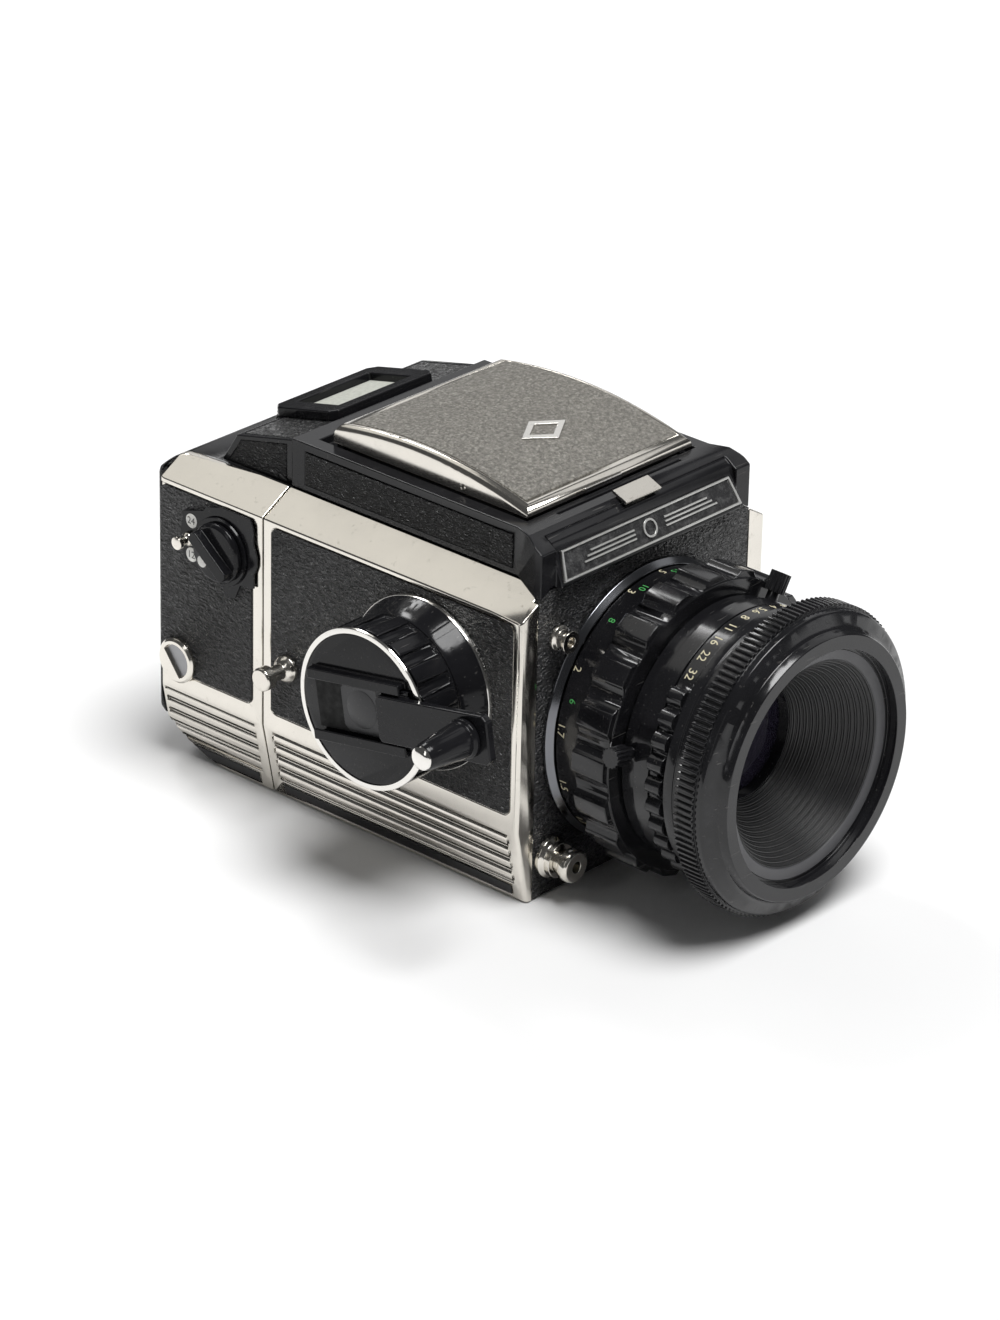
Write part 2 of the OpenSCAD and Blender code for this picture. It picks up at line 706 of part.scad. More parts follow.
module rear_element() {
    at_socket() color("lightcyan") lens_turned([[0, -25.2], [17, -25.2], [17, -22],
                                                [9, -20.2], [0, -19.6]]);
}

// One blade of the iris: a curved leaf on a pivot
module iris_blade(i) {
    a = 360 / blade_count * i;
    at_socket() color("darkslategray") translate([0, 0, lens_z]) rotate([0, -a, 0])
        translate([0, blade_top_y - blade_pitch * i, 0]) rotate([90, 0, 0]) {
            linear_extrude(0.2) difference() {
                union() {
                    polygon(concat([for (t = [-6:6:96]) 26.5 * [cos(t), sin(t)]],
                                   [for (t = [96:-6:-6]) 16.2 * [cos(t), sin(t)]]));
                    translate([blade_pivot_r, 0]) circle(r = 4);
                }
                translate([blade_pivot_r, 0]) circle(r = 0.8);
            }
        }
}

module iris_blade_1() {
    iris_blade(0);
}

module iris_blade_2() {
    iris_blade(1);
}

module iris_blade_3() {
    iris_blade(2);
}

module iris_blade_4() {
    iris_blade(3);
}

module iris_blade_5() {
    iris_blade(4);
}

// ---------- film back ----------

belly_end = acos((rear_y - belly_y) / belly_r);
// Side view of the film back
back_profile = concat([[back_y, 92], [back_y, 0]],
                      arc(belly_y, belly_r, belly_r, -90, -belly_end, 16),
                      arc(rear_y - 5.5, 84.8, 5.5, 0, 84, 8));
// Plan of the film back, with rounded rear corners
back_plan = concat([[-half_w, back_y]], arc(-half_w + 5, rear_y - 5, 5, 180, 90, 8),
                   arc(half_w - 5, rear_y - 5, 5, 90, 0, 8), [[half_w, back_y]]);

module back_solid() {
    intersection() {
        prism_x(back_profile, -60, 60);
        linear_extrude(120) polygon(back_plan);
        both_sides() prism_y(concat(section, [[0, shoulder_h], [0, 0]]), back_y, rear_y + 1);
    }
}

module back_shell() {
    at_socket() color("black") difference() {
        union() {
            intersection() {
                prism_x(back_profile, -60, 60);
                both_sides() prism_y(cover_inside, back_y, rear_y);
                union() {
                    translate([-60, 90, -1]) cube([120, door_y - 90.2, 120]);
                    translate([-60, 90, -1]) cube([120, 60, door_z + 0.8]);
                }
            }
            prism_x(hump_pts, -hump_x, hump_x);
        }
        translate([-34, 102.2, 8]) cube([68, 60, 79.5]);
        translate([-28, 90, lens_z - 28]) cube([56, 20, 56]);
        translate([-30, 97.4, lens_z - 29.8]) cube([90, 0.7, 59.6]);
        rod_x(key_y, key_z, 2.55, -60, -40);
        both_sides() prism_x(hump_side, hump_x - 0.5, hump_x + 1);
        on_hump() translate([-35.8, 1.4, -0.5]) cube([71.6, 20.0, 2]);
        translate([-24, rear_y - 4.2, door_z - 3]) cube([48, 8, 6]);
    }
    at_socket() color("black") for (z = [takeup_z, feed_z])
        both_sides() rod_x(spool_y, z, 2.5, 29.4, 34.2);
    at_socket() color("black") for (x = [-40, 24])
        rod_x(rear_y - 2.1, door_z - 1.3, 1.2, x, x + 16);
}

// Chromed covers at each side of the film back
module back_covers() {
    at_socket() color("lightgray") difference() {
        both_sides() {
            intersection() {
                difference() {
                    prism_y(concat(section, [[shoulder_x, 0]]), back_y, door_y - 0.2);
                    prism_y(cover_inside, back_y - 1, door_y + 1);
                    slab(half_w - pocket_d, half_w + 5, 99.4, 145, 27.2, side_h - 1.5, 2.4);
                    rib_pocket(back_y + 3.4, door_y - 1.4);
                }
                back_solid();
            }
            intersection() {
                ribs(back_y + 3.4, door_y - 1.4);
                back_solid();
            }
        }
        translate([40, 97.2, lens_z - 30]) cube([20, 1.1, 60]);
        rod_x(key_y, key_z, 3, -60, -40);
    }
}

module back_leather() {
    at_socket() color("black") difference() {
        both_sides() slab(half_w - pocket_d, half_w - pocket_d + leather_t, 99.6, door_y - 0.4,
                          27.4, side_h - 1.7, 2.2);
        rod_x(key_y, key_z, 3, -60, -40);
    }
    at_socket() color("black") {
        both_sides() prism_x(hump_side, hump_x - 0.5, hump_x - 0.1);
        on_hump() translate([-35.6, 1.6, -0.5]) cube([71.2, 19.6, 0.5]);
    }
}

// Places children on the sloping top of the raised block
module on_hump() {
    translate([0, back_y, 104.8]) rotate([-memo_tilt, 0, 0]) children();
}

module memo_frame() {
    at_socket() color("black") {
        on_hump() difference() {
            linear_extrude(3.0)
                polygon([[-18.6, 0.6], [-20.6, 2.6], [-20.6, 23.0], [-18.0, 25.6], [18.0, 25.6],
                         [20.6, 23.0], [20.6, 2.6], [18.6, 0.6]]);
            translate([-14.4, 4.8, 0.4]) cube([28.8, 16.2, 5]);
        }
        prism_x([[118.0, 99.3], [118.6, 100.0], [120.2, 100.0], [121.6, 98.6], [122.6, 96.4],
                 [120.0, 96.1]], -17.9, 17.9);
    }
}

// Rear door, a tray hinged along its lower edge
module back_door() {
    at_socket() color("black") difference() {
        intersection() {
            back_solid();
            translate([-60, door_y, door_z]) cube([120, 20, 100]);
        }
        translate([-46.5, door_y - 1, 16]) cube([93, 2.1, 71.5]);
    }
    at_socket() color("black") {
        rod_x(rear_y - 2.1, door_z - 1.3, 1.2, -23.7, 23.7);
        translate([-23.7, rear_y - 3.2, door_z - 1.3]) cube([47.4, 2.0, 2.6]);
    }
}

// Turning latch of the rear door
module back_latch() {
    at_socket() color("silver") difference() {
        left_turned(latch_y, latch_z, [[0, half_w + 0.3], [6.7, half_w + 0.3],
                                       [6.7, half_w + 1.4], [6.0, half_w + 2.1],
                                       [0, half_w + 2.1]]);
        intersection() {
            rod_x(latch_y, latch_z, 5.0, -60, -half_w - 1.0);
            translate([0, latch_y, latch_z]) rotate([52, 0, 0])
                translate([-60, -7, -1.6]) cube([20, 14, 10]);
        }
    }
}

module pressure_plate() {
    at_socket() color("gray") translate([-33.9, 102.2, 19]) cube([67.8, 0.9, 54]);
}

module spool(z) {
    difference() {
        left_turned(spool_y, z, [[0, -31], [12.4, -31], [12.4, -30], [5.6, -30], [5.6, 30],
                                 [12.4, 30], [12.4, 31], [0, 31]]);
        rod_x(spool_y, z, 2.55, -32, -29);
        rod_x(spool_y, z, 2.55, 29, 32);
    }
}

module takeup_spool() {
    at_socket() color("dimgray") spool(takeup_z);
}

module feed_spool() {
    at_socket() color("dimgray") spool(feed_z);
}

// Round key with a bar across it, for advancing the film
module film_key() {
    at_socket() color("black") {
        left_turned(key_y, key_z, [[0, 44], [2.5, 44], [2.5, half_w + 1.9], [8.8, half_w + 1.9],
                                   [8.8, half_w + 3.0], [8.0, half_w + 3.8], [0, half_w + 3.8]]);
        translate([-half_w - 3.6, key_y, key_z]) rotate([-52, 0, 0]) rotate([90, 0, -90])
            linear_extrude(3.2) polygon([[-1.9, -7.4], [-1.2, -8.1], [1.2, -8.1], [1.9, -7.4],
                                         [1.9, 7.4], [1.2, 8.1], [-1.2, 8.1], [-1.9, 7.4]]);
    }
}

module selector_lever() {
    at_socket() color("silver") difference() {
        union() {
            left_turned(key_y, key_z, [[0, half_w + 1.0], [4.6, half_w + 1.0],
                                       [4.6, half_w + 1.6], [0, half_w + 1.6]]);
            translate([-half_w - 1.6, key_y, key_z - 1.5]) cube([0.6, 12.5, 3]);
            left_turned(key_y + 12.4, key_z, [
                [0, half_w + 1.0], [2.0, half_w + 1.0], [2.0, half_w + 2.0], [1.3, half_w + 2.8],
                [1.3, half_w + 4.2], [1.9, half_w + 4.8], [1.9, half_w + 6.0], [0, half_w + 6.6]]);
        }
        rod_x(key_y, key_z, 2.56, -60, -40);
    }
}

// Thin steel sheet in front of the film, with a finger loop
module dark_slide() {
    at_socket() color("silver") {
        translate([-29.6, 97.6, lens_z - 29.4]) cube([half_w + 31.2, 0.3, 58.8]);
        difference() {
            translate([half_w + 1.2, 96.9, lens_z - 22]) cube([5, 1.7, 44]);
            translate([half_w + 2.6, 90, lens_z - 19]) cube([2.2, 20, 38]);
        }
    }
}

body_frame();
front_plate();
mount_ring();
cover_left();
cover_right();
leather_left();
leather_right();
base_plate();
tripod_bush();
nameplate();
hood_base();
hood_leather();
focusing_screen();
strap_studs();
release_collar();
sync_socket();
shutter_gate();
shutter_button();
hood_catch();
lid_frame();
lid_leather();
flap_left();
flap_right();
flap_front();
magnifier_frame();
magnifier_lens();
crank_knob();
knob_face();
crank_arm();
crank_grip();
drum_gear();
mirror_sledge();
mirror_plate();
speed_dial();
focus_ring();
lens_barrel();
lens_lock_ring();
aperture_ring();
front_barrel();
filter_ring();
light_baffle();
front_element();
rear_element();
iris_blade_1();
iris_blade_2();
iris_blade_3();
iris_blade_4();
iris_blade_5();
back_shell();
back_covers();
back_leather();
memo_frame();
back_door();
back_latch();
pressure_plate();
takeup_spool();
feed_spool();
film_key();
selector_lever();
dark_slide();
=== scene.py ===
import json
import math
import bmesh
import bpy
from mathutils import Matrix, Vector


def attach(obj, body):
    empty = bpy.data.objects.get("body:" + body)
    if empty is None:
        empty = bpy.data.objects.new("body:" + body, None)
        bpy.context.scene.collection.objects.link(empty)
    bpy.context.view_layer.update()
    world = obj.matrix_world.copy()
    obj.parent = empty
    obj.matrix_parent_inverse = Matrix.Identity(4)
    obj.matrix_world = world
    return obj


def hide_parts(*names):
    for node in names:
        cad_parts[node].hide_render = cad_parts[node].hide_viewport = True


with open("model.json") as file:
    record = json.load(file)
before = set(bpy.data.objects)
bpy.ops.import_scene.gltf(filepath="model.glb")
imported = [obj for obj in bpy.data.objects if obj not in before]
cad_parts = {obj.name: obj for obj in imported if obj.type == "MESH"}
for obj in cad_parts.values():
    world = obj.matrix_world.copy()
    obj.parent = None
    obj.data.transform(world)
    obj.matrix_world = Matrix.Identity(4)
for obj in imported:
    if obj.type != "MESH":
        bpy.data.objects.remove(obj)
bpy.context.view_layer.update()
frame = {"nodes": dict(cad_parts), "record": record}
NODES = frame["nodes"]
BODY_OF = {n: b for b, members in frame["record"]["behaviour"]["bodies"].items() for n in members}
SLOT_OF = {s["node"]: s["material_slot"] for s in frame["record"]["subparts"]}
MM = 0.001

# Places in mm: y behind the front plate, z above the base
SOCKET_Y = 58                     # tripod socket, where the part's frame has its origin
LENS_Z = 46.5                     # lens axis
KNOB_Y, KNOB_Z = 34.4, 56.9       # axis of the crank, and of the speed dial
KEY_Y, KEY_Z = 110.6, 70.8        # film key
LATCH_Y, LATCH_Z = 127.9, 31.6    # latch of the rear door
COUNT_Y = 122.2                   # the two dots beside the film key
HALF_W, LEAN, RIB_H = 50, 4.7, 22.5    # a cover's half width, its lean, and how high it leans
SIDES = ((-1, "left"), (1, "right"))


def at(x, y, z):
    """Millimetres behind the front plate and above the base, as metres in the part's frame."""
    return Vector((x, y - SOCKET_Y, z)) * MM


# ---------- materials ----------

class Graph:
    """A small wrapper for building a node material."""

    def __init__(self, name):
        self.mat = bpy.data.materials.new(name)
        self.mat.use_nodes = True
        self.tree = self.mat.node_tree
        self.tree.nodes.clear()
        self.out = self.add("ShaderNodeOutputMaterial")
        self.bsdf = self.add("ShaderNodeBsdfPrincipled")
        self.link(self.bsdf.outputs[0], self.out.inputs["Surface"])
        self.coords = self.add("ShaderNodeTexCoord").outputs["Object"]

    def add(self, kind, **props):
        node = self.tree.nodes.new(kind)
        for key, value in props.items():
            setattr(node, key, value)
        return node

    def link(self, a, b):
        self.tree.links.new(a, b)

    def feed(self, socket, value):
        if isinstance(value, bpy.types.NodeSocket):
            self.link(value, socket)
        else:
            socket.default_value = value

    def stretch(self, scale):
        """Object coordinates scaled unevenly, which draws a pattern out along an axis."""
        node = self.add("ShaderNodeMapping")
        self.link(self.coords, node.inputs["Vector"])
        node.inputs["Scale"].default_value = scale
        return node.outputs[0]

    def warp(self, amount, scale, source=None):
        """Coordinates pushed about by noise, so that a pattern isn't regular."""
        noise = self.add("ShaderNodeTexNoise")
        self.link(source or self.coords, noise.inputs["Vector"])
        noise.inputs["Scale"].default_value = scale
        push = self.add("ShaderNodeVectorMath", operation="MULTIPLY_ADD")
        self.link(noise.outputs["Color"], push.inputs[0])
        push.inputs[1].default_value = (amount,) * 3
        self.link(source or self.coords, push.inputs[2])
        return push.outputs[0]

    def noise(self, scale, detail, rough, source=None):
        node = self.add("ShaderNodeTexNoise")
        self.link(source or self.coords, node.inputs["Vector"])
        node.inputs["Scale"].default_value = scale
        node.inputs["Detail"].default_value = detail
        node.inputs["Roughness"].default_value = rough
        return node.outputs["Fac"]

    def cells(self, scale, source, feature="F1", smooth=None):
        node = self.add("ShaderNodeTexVoronoi", feature=feature)
        self.link(source, node.inputs["Vector"])
        node.inputs["Scale"].default_value = scale
        if smooth is not None:
            node.inputs["Smoothness"].default_value = smooth
        return node.outputs["Distance"]

    def span(self, value, from_min, from_max, to_min, to_max):
        """The value mapped from one range to another, and clamped to it."""
        node = self.add("ShaderNodeMapRange")
        self.link(value, node.inputs["Value"])
        for key, number in (("From Min", from_min), ("From Max", from_max),
                            ("To Min", to_min), ("To Max", to_max)):
            node.inputs[key].default_value = number
        return node.outputs["Result"]

    def maths(self, operation, a, b=0.0):
        node = self.add("ShaderNodeMath", operation=operation)
        self.feed(node.inputs[0], a)
        self.feed(node.inputs[1], b)
        return node.outputs[0]

    def mix(self, factor, a, b):
        node = self.add("ShaderNodeMix", data_type="RGBA")
        self.feed(node.inputs["Factor"], factor)
        self.feed(node.inputs["A"], (*a, 1) if isinstance(a, tuple) else a)
        self.feed(node.inputs["B"], (*b, 1) if isinstance(b, tuple) else b)
        return node.outputs["Result"]

    def bump(self, height, distance, strength, normal=None):
        node = self.add("ShaderNodeBump")
        self.link(height, node.inputs["Height"])
        node.inputs["Distance"].default_value = distance
        node.inputs["Strength"].default_value = strength
        if normal is not None:
            self.link(normal, node.inputs["Normal"])
        return node.outputs["Normal"]

    def set(self, **values):
        """Feeds the shader's inputs, each a number, a colour or another node's output."""
        names = {"color": "Base Color", "rough": "Roughness", "metal": "Metallic",
                 "normal": "Normal", "spec": "Specular IOR Level", "coat": "Coat Weight",
                 "coat_rough": "Coat Roughness", "glass": "Transmission Weight", "ior": "IOR",
                 "sheen": "Sheen Weight", "sheen_rough": "Sheen Roughness"}
        for key, value in values.items():
            if isinstance(value, tuple):
                value = (*value, 1)
            self.feed(self.bsdf.inputs[names[key]], value)
        return self.mat


def metal(name, tone, dark, rough, grain, marks):
    """Plated or bare metal: cloudy polish, fine hairlines and a few dull marks."""
    g = Graph(name)
    cloud = g.noise(60, 4, 0.6)
    hair = g.noise(900, 2, 0.6, g.stretch((0.12, 0.12, 1.6)))
    spots = g.span(g.noise(420, 5, 0.7), 0.60, 0.74, 0, marks)
    color = g.mix(g.span(cloud, 0.3, 0.7, 0, 0.6), tone, tuple(c * 0.9 for c in tone))
    color = g.mix(spots, color, dark)
    roughness = g.maths("ADD", g.span(cloud, 0.25, 0.75, rough * 0.8, rough * 1.25),
                        g.maths("MULTIPLY", spots, 0.22))
    return g.set(color=color, metal=1.0, rough=roughness,
                 normal=g.bump(hair, 0.000016 * grain, 0.5, g.bump(cloud, 0.00006, 0.25)))


def paint(name, tone, rough, peel, dust, spec=0.5):
    """Black enamel or anodising: orange peel, wiped streaks, dust and hairline scratches."""
    g = Graph(name)
    streak = g.noise(35, 4, 0.65, g.stretch((1, 1, 2.2)))
    specks = g.span(g.cells(520, g.warp(0.001, 300)), 0.045, 0.02, 0, dust)
    scratch = g.span(g.noise(1500, 1, 0.4, g.stretch((0.06, 1, 0.9))), 0.70, 0.78, 0, 0.30)
    tint = g.mix(g.span(streak, 0.35, 0.7, 0, 1), tone, tuple(c * 1.7 + 0.002 for c in tone))
    color = g.mix(g.maths("MAXIMUM", specks, scratch), tint, (0.16, 0.155, 0.145))
    roughness = g.maths("ADD", g.span(streak, 0.3, 0.75, rough * 0.75, rough * 1.5),
                        g.maths("MULTIPLY", specks, 0.4))
    return g.set(color=color, rough=roughness, spec=spec,
                 normal=g.bump(g.noise(650, 2, 0.5), 0.000012 * peel, 0.6))


def leather(name, tone, crease_shade, crest_glint, rough, size, depth,
            stretch=(0.62, 0.62, 1.35), dust=0.0, sheen=0.0):
    """Pebbled leatherette: rounded uneven grains, about size mm across, with creases between.
    Painted shade darkens the creases and painted highlight lightens the crests of the grains.
    """
    g = Graph(name)
    where = g.warp(0.0007, 700, g.stretch(stretch))
    grain = g.cells(1000 / size, where, "SMOOTH_F1", 0.35)
    fine = g.noise(2600 / size, 3, 0.6, where)
    ridge = g.cells(720 / size, where, "DISTANCE_TO_EDGE")
    fold = g.noise(620 / size, 2, 0.5, where)
    height = g.maths("ADD", g.maths("ADD", g.span(ridge, 0.0, 0.20, 0.0, 0.75),
                                    g.span(grain, 0.0, 0.75, 0.7, 0.0)),
                     g.maths("ADD", g.span(fine, 0.3, 0.7, -0.15, 0.15),
                             g.span(fold, 0.3, 0.7, -0.7, 0.7)))
    patch = g.noise(45, 4, 0.6)
    # painted shade: the low creases between the grains are coloured darker
    color = g.mix(g.span(height, 0.0, 1.3, 0, 1), crease_shade, tone)
    # painted highlight: the high crests of the grains are coloured lighter, as glints
    color = g.mix(g.span(height, 1.15, 1.7, 0, 1), color, crest_glint)
    color = g.mix(g.span(patch, 0.35, 0.75, 0, 0.35), color, tuple(c * 0.6 for c in tone))
    if dust:
        flecks = g.span(g.cells(760, g.warp(0.002, 200)), 0.10, 0.04, 0, dust)
        color = g.mix(flecks, color, (0.42, 0.41, 0.38))
    return g.set(color=color, rough=g.span(height, 0.0, 1.4, rough + 0.2, rough - 0.08),
                 spec=0.6, sheen=sheen, sheen_rough=0.4, normal=g.bump(height, depth, 1.0))


def plain(name, tone, rough, scale=500, depth=0.00002):
    """Small inlays, inks and plastics, with a fine mottled surface."""
    g = Graph(name)
    mottle = g.noise(scale, 4, 0.65)
    color = g.mix(g.span(mottle, 0.3, 0.7, 0, 1), tone, tuple(c * 0.75 for c in tone))
    return g.set(color=color, rough=g.span(mottle, 0.3, 0.7, rough, rough * 1.3),
                 normal=g.bump(mottle, depth, 0.4))


def glass(name, tone, dust):
    """Optical glass with a faint haze of dust in its roughness."""
    g = Graph(name)
    haze = g.span(g.noise(300, 5, 0.7), 0.5, 0.8, 0.0, dust)
    return g.set(color=g.mix(haze, tone, tuple(c * 0.9 for c in tone)), rough=haze, glass=1.0,
                 ior=1.5, coat=0.3)


def coated(name, tone):
    """A coated lens surface over a dark interior, with the coating's violet cast."""
    g = Graph(name)
    cloud = g.noise(40, 3, 0.5)
    return g.set(color=g.mix(cloud, tone, tuple(c * 0.5 for c in tone)),
                 rough=g.span(cloud, 0.3, 0.7, 0.015, 0.04), spec=0.6, coat=0.6, coat_rough=0.01)


def stipple(name, tone, rough):
    """Cast field with a coarse blackened stipple."""
    g = Graph(name)
    pits = g.cells(1500, g.warp(0.0008, 700), "SMOOTH_F1", 0.4)
    lump = g.noise(420, 4, 0.7)
    color = g.mix(g.span(lump, 0.45, 0.7, 0, 0.7), tone, (0.10, 0.10, 0.10))
    return g.set(color=color, rough=g.span(pits, 0, 0.6, rough, rough + 0.2), spec=0.5,
                 normal=g.bump(pits, 0.00022, 0.9, g.bump(lump, 0.0003, 0.8)))


def cone_black(name):
    """The cone in front of the glass: fine turned threads, and a satin lip outside them."""
    lip_radius, thread_pitch = 0.0293, 0.00048
    g = Graph(name)
    split = g.add("ShaderNodeSeparateXYZ")
    g.link(g.coords, split.inputs[0])
    up = g.maths("SUBTRACT", split.outputs["Z"], LENS_Z * MM)
    radius = g.maths("SQRT", g.maths("ADD", g.maths("POWER", split.outputs["X"], 2.0),
                                     g.maths("POWER", up, 2.0)))
    lip = g.maths("GREATER_THAN", radius, lip_radius)
    groove = g.maths("SINE", g.maths("MULTIPLY", split.outputs["Y"], 2 * math.pi / thread_pitch))
    smear = g.noise(90, 4, 0.6)
    cone = g.mix(g.span(smear, 0.3, 0.7, 0, 1), (0.014, 0.014, 0.015), (0.026, 0.026, 0.026))
    color = g.mix(lip, cone, (0.075, 0.075, 0.08))
    return g.set(color=color, rough=g.span(smear, 0.3, 0.7, 0.34, 0.48), spec=0.5,
                 normal=g.bump(g.maths("MULTIPLY", groove, g.maths("SUBTRACT", 1.0, lip)),
                               0.00006, 0.8))


# The material of each slot, and of each finer piece
M = {
    "chrome": metal("plated_nickel", (0.80, 0.765, 0.70), (0.30, 0.27, 0.22), 0.16, 0.25, 0.35),
    "chrome_bright": metal("bright_chrome", (0.86, 0.84, 0.80), (0.35, 0.33, 0.3), 0.10, 0.2, 0.2),
    "plate_silver": metal("satin_silver", (0.62, 0.62, 0.60), (0.2, 0.2, 0.2), 0.30, 1.0, 0.4),
    "steel": metal("brushed_steel", (0.56, 0.56, 0.57), (0.25, 0.25, 0.25), 0.28, 2.0, 0.3),
    "iris_steel": metal("blued_steel", (0.10, 0.10, 0.12), (0.05, 0.05, 0.05), 0.35, 2.0, 0.3),
    "brass": metal("turned_brass", (0.75, 0.56, 0.24), (0.35, 0.22, 0.08), 0.25, 1.5, 0.4),
    "mirror_silver": metal("mirror_silver", (0.92, 0.93, 0.94), (0.7, 0.7, 0.7), 0.02, 0.05, 0.05),
    "cast_metal": metal("cast_metal", (0.12, 0.12, 0.125), (0.06, 0.06, 0.06), 0.55, 3.0, 0.5),
    "black_paint": paint("black_paint", (0.008, 0.008, 0.009), 0.17, 1.0, 0.3, 0.28),
    "black_enamel": paint("black_enamel", (0.006, 0.006, 0.007), 0.13, 1.3, 0.25, 0.24),
    "black_anodised": paint("black_anodised", (0.016, 0.016, 0.018), 0.38, 1.5, 0.2),
    "lens_black": paint("lens_black", (0.007, 0.007, 0.008), 0.13, 0.6, 0.18, 0.48),
    # leatherette: its second colour is painted shade in the creases, its third a painted highlight
    # on the crests
    "leatherette": leather("leatherette", (0.022, 0.022, 0.0235), (0.003, 0.003, 0.003),
                           (0.062, 0.062, 0.062), 0.30, 0.9, 0.0006),
    # lid leatherette: its second colour is painted shade in the creases, its third a painted
    # highlight on the crests
    "lid_leatherette": leather("lid_leatherette", (0.235, 0.222, 0.195), (0.10, 0.094, 0.082),
                               (0.33, 0.315, 0.28), 0.46, 0.75, 0.00014, (1, 1, 1), 0.15, 0.1),
    "gunmetal": metal("gunmetal", (0.20, 0.205, 0.22), (0.10, 0.10, 0.10), 0.15, 0.4, 0.3),
    "latch_floor": metal("latch_floor", (0.34, 0.34, 0.35), (0.2, 0.2, 0.2), 0.42, 1.0, 0.3),
    "spool_plastic": plain("spool_plastic", (0.022, 0.022, 0.022), 0.4),
    "matte_black": cone_black("baffle_black"),
    "stipple": stipple("stippled_field", (0.012, 0.012, 0.013), 0.42),
    "ground_glass": glass("ground_glass", (0.86, 0.88, 0.88), 0.5),
    "clear_glass": glass("clear_glass", (0.97, 0.98, 0.98), 0.05),
    "coated_glass": coated("coated_glass", (0.030, 0.026, 0.045)),
    "void_black": plain("void_black", (0.002, 0.002, 0.002), 0.7),
    "inlay": plain("inlay_black", (0.012, 0.012, 0.013), 0.32),
    "ink_cream": plain("ink_cream", (0.72, 0.66, 0.46), 0.5),
    "ink_white": plain("ink_white", (0.93, 0.92, 0.88), 0.5),
    "ink_green": plain("ink_green", (0.07, 0.42, 0.10), 0.5),
    "ink_red": plain("ink_red", (0.65, 0.04, 0.03), 0.4),
    "ink_black": plain("ink_black", (0.01, 0.01, 0.01), 0.5),
    "card": plain("memo_card", (0.50, 0.51, 0.46), 0.75, 900, 0.00003),
}

for name, obj in NODES.items():
    obj.data.materials.clear()
    obj.data.materials.append(M[SLOT_OF[name]])

# ---------- geometry ----------


SHARP_ANGLE = math.radians(35)    # edges bent further than this are shaded as edges


def piece(name, bm, mat, body, slot):
    """Turns bm into a piece of that name and material, which rides body. slot is not used."""
    mesh = bpy.data.meshes.new(name)
    bm.to_mesh(mesh)
    bm.free()
    mesh.materials.append(M[mat])
    obj = bpy.data.objects.new(name, mesh)
    bpy.context.scene.collection.objects.link(obj)
    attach(obj, body)
    return obj


def finish_mesh(name, bm, mat, body, slot):
    """A piece made of closed solid forms, shaded smooth between its sharp edges."""
    bmesh.ops.recalc_face_normals(bm, faces=bm.faces)
    obj = piece(name, bm, mat, body, slot)
    obj.data.shade_smooth()
    obj.data.set_sharp_from_angle(angle=SHARP_ANGLE)
    return obj


def rounded(obj, width, angle=30):
    """Rounds obj's sharp edges, width mm wide, with a bevel that is made part of its mesh."""
    bevel = obj.modifiers.new("edge", "BEVEL")
    bevel.width = width * MM
    bevel.segments = 2
    bevel.limit_method = "ANGLE"
    bevel.angle_limit = math.radians(angle)
    bevel.use_clamp_overlap = False
    bevel.harden_normals = True
    baked = bpy.data.meshes.new_from_object(
        obj.evaluated_get(bpy.context.evaluated_depsgraph_get()))
    obj.modifiers.clear()
    obj.data = baked


def refine(node, width):
    """A copy of a CAD node with its edges rounded, shown in its place."""
    bm = bmesh.new()
    bm.from_mesh(NODES[node].data)
    bmesh.ops.remove_doubles(bm, verts=bm.verts, dist=2e-6)
    bmesh.ops.dissolve_limit(bm, angle_limit=math.radians(0.4), verts=bm.verts, edges=bm.edges)
    obj = finish_mesh(node + "_finished", bm, SLOT_OF[node], BODY_OF[node], SLOT_OF[node])
    if width:
        rounded(obj, width, 32)
    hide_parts(node)


def lathe(name, profile, centre, axis, mat, body, slot, segments=160):
    """Profile of (radius, distance along axis) in mm, turned about a line through centre."""
    bm = bmesh.new()
    along = Vector(axis).normalized()
    side = along.orthogonal().normalized()
    other = along.cross(side)
    rings = []
    for i in range(segments):
        a = 2 * math.pi * i / segments
        out = side * math.cos(a) + other * math.sin(a)
        rings.append([bm.verts.new(centre + (out * r + along * h) * MM) for r, h in profile])
    count = len(profile)
    for i in range(segments):
        here, following = rings[i], rings[(i + 1) % segments]
        for k in range(count):
            n = (k + 1) % count
            bm.faces.new((here[k], following[k], following[n], here[n]))
    bmesh.ops.remove_doubles(bm, verts=bm.verts, dist=1e-7)
    finish_mesh(name, bm, mat, body, slot)


def extruded(name, outline, height, place, mat, body, slot, bevel=0.0, holes=()):
    """A flat outline in mm, given a height, with place() putting (x, y, z) into the frame."""
    bm = bmesh.new()
    loops = [[bm.verts.new((x, y, 0)) for x, y in points] for points in (outline, *holes)]
    edges = []
    for ring in loops:
        edges += [bm.edges.new((ring[i], ring[(i + 1) % len(ring)])) for i in range(len(ring))]
    bmesh.ops.triangle_fill(bm, use_beauty=True, edges=edges)
    bmesh.ops.dissolve_limit(bm, angle_limit=0.01, verts=bm.verts, edges=bm.edges)
    top = bmesh.ops.extrude_face_region(bm, geom=list(bm.faces))
    for v in [g for g in top["geom"] if isinstance(g, bmesh.types.BMVert)]:
        v.co.z += height
    for v in bm.verts:
        v.co = place(v.co.x, v.co.y, v.co.z)
    obj = finish_mesh(name, bm, mat, body, slot)
    if bevel:
        rounded(obj, bevel)


def bar(name, size, matrix, mat, body, slot, bevel):
    """A box of that size in mm with rounded edges, placed by a matrix in mm."""
    bm = bmesh.new()
    bmesh.ops.create_cube(bm, size=1)
    for v in bm.verts:
        v.co = at(*(matrix @ Vector([c * s for c, s in zip(v.co, size)])))
    rounded(finish_mesh(name, bm, mat, body, slot), bevel)


